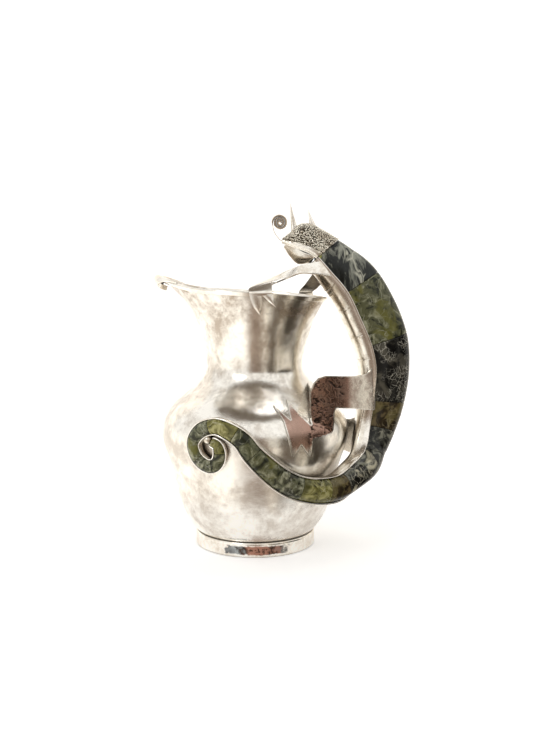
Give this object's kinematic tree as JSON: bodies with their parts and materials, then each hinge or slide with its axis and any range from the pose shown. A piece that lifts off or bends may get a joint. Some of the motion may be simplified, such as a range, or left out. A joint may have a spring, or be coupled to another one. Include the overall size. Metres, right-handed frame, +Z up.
{
  "type": "water pitcher",
  "caption": "Tall baluster silver pitcher with a flared pouring spout and a lizard handle set with polished stones, its tail curled on the belly.",
  "frame": {"origin": "on the vessel's axis, in the plane the foot ring stands on", "axes": "+Z up along the vessel's axis, -X towards the spout, +X towards the handle, -Y the side that the tail wraps across"},
  "size_m": [0.2345, 0.1787, 0.305],
  "materials": {
    "backing_metal": "hidden sheet that the stones are bedded on",
    "plate_silver": "polished silver with brown tarnish in the joints",
    "bezel_silver": "burnished bezel strip",
    "oxidised_silver": "oxidised silver bead",
    "trim_silver": "polished silver strip",
    "sheet_silver": "polished sheet silver, light wear",
    "granulated_silver": "granulated silver, oxidised between the grains",
    "chased_silver": "sheet silver with chased scale marks, oxidised in the cuts",
    "streaked_stone": "polished dark grey stone with yellow-green and silvery streaks",
    "olive_stone": "polished mottled olive stone",
    "black_stone": "polished black stone with pale dendrites",
    "brown_stone": "polished brown-black stone",
    "patched_stone": "polished black and grey stone with cream patches",
    "yellow_green_stone": "polished yellow-olive stone",
    "grey_green_stone": "polished spotted grey-green stone",
    "raised_silver": "hand-raised polished silver with a soft warm tarnish mottling"
  },
  "bodies": {
    "root": {"back_shell": "backing_metal", "belly_plate_1": "plate_silver", "belly_plate_2": "plate_silver", "belly_plate_3": "plate_silver", "belly_plate_4": "plate_silver", "belly_plate_5": "plate_silver", "bezel_far": "bezel_silver", "bezel_near": "bezel_silver", "eye_far": "oxidised_silver", "eye_near": "oxidised_silver", "foot_ring": "trim_silver", "front_leg_far": "sheet_silver", "front_leg_near": "sheet_silver", "head_shell": "granulated_silver", "horn_front": "sheet_silver", "horn_rear": "sheet_silver", "jaw": "sheet_silver", "rear_leg_far": "chased_silver", "rear_leg_near": "chased_silver", "rim_band": "trim_silver", "spout_lip": "trim_silver", "stone_01": "streaked_stone", "stone_02": "olive_stone", "stone_03": "black_stone", "stone_04": "brown_stone", "stone_05": "patched_stone", "stone_06": "patched_stone", "stone_07": "brown_stone", "stone_08": "yellow_green_stone", "stone_09": "grey_green_stone", "stone_10": "olive_stone", "stone_11": "olive_stone", "stone_12": "yellow_green_stone", "stone_13": "grey_green_stone", "stone_14": "olive_stone", "stone_15": "grey_green_stone", "stone_16": "olive_stone", "stone_17": "yellow_green_stone", "tail_channel": "plate_silver", "tail_tip": "plate_silver", "tongue": "sheet_silver", "vessel_shell": "raised_silver"}
  },
  "joints": []
}
